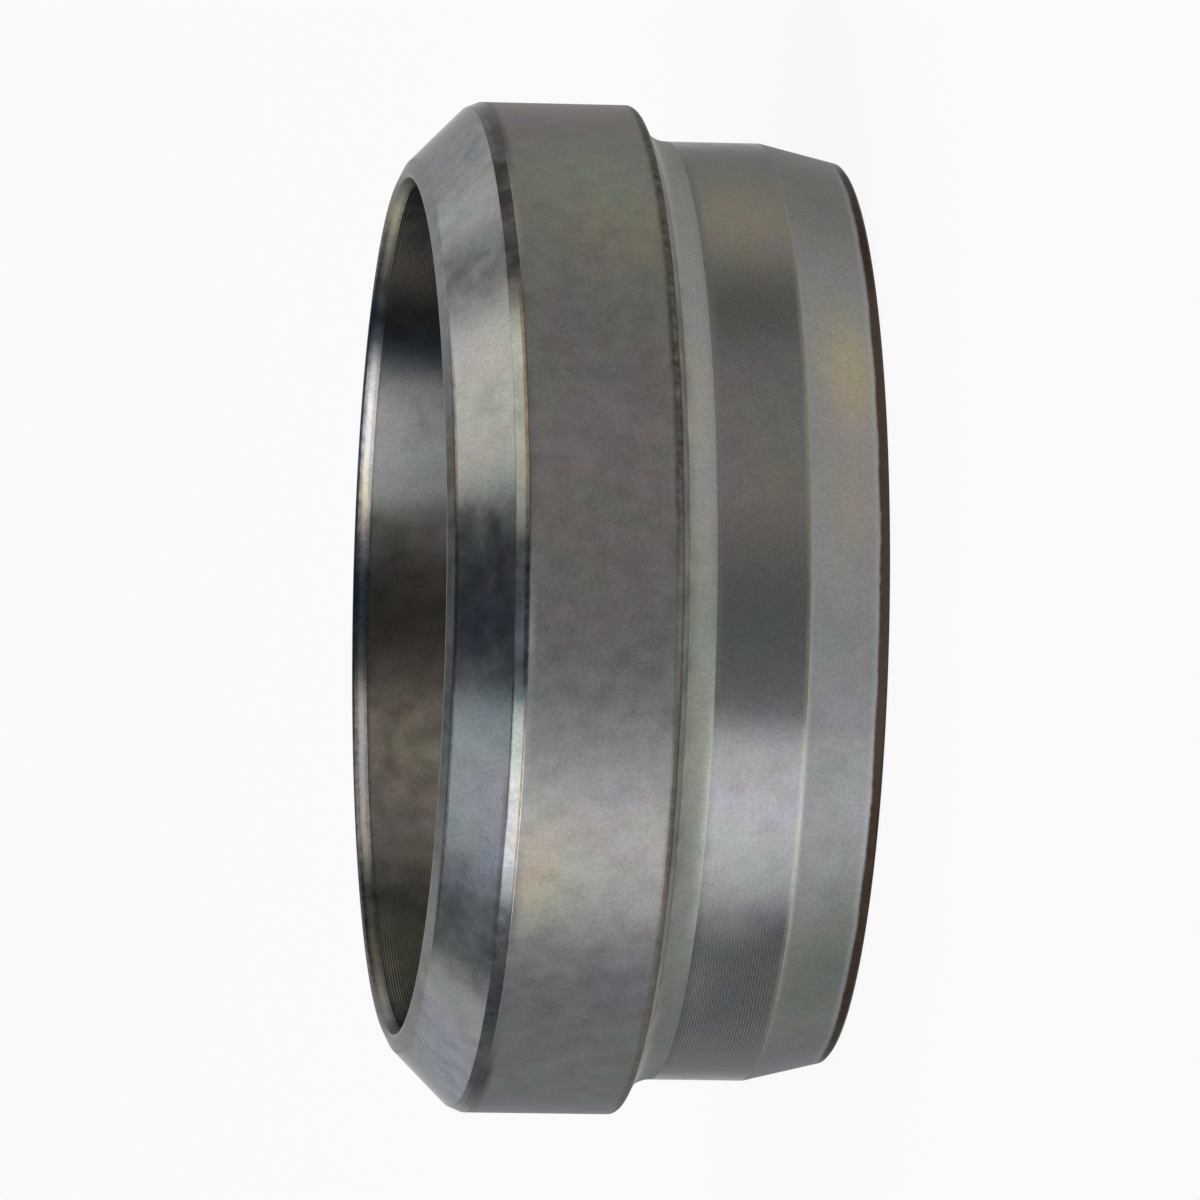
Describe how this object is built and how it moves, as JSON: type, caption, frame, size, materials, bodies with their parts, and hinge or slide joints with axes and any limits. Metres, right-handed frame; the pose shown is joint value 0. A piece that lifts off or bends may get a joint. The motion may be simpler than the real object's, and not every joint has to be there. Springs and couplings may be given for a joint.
{
  "type": "bite ring",
  "caption": "Turned steel bite ring for a compression tube fitting: thick collar with a pressure cone, thinner tapered nose, and inner cutting edges.",
  "frame": {"origin": "on the ring's axis, in the plane of the nose's end face, which the ring stands on", "axes": "+Z along the ring's axis, from the cutting nose to the pressure cone"},
  "size_m": [0.03, 0.03, 0.0128],
  "materials": {
    "zinc_steel": "satin zinc plate with a clear, faintly iridescent passivation"
  },
  "bodies": {
    "root": {"bite_ring": "zinc_steel"}
  },
  "joints": []
}
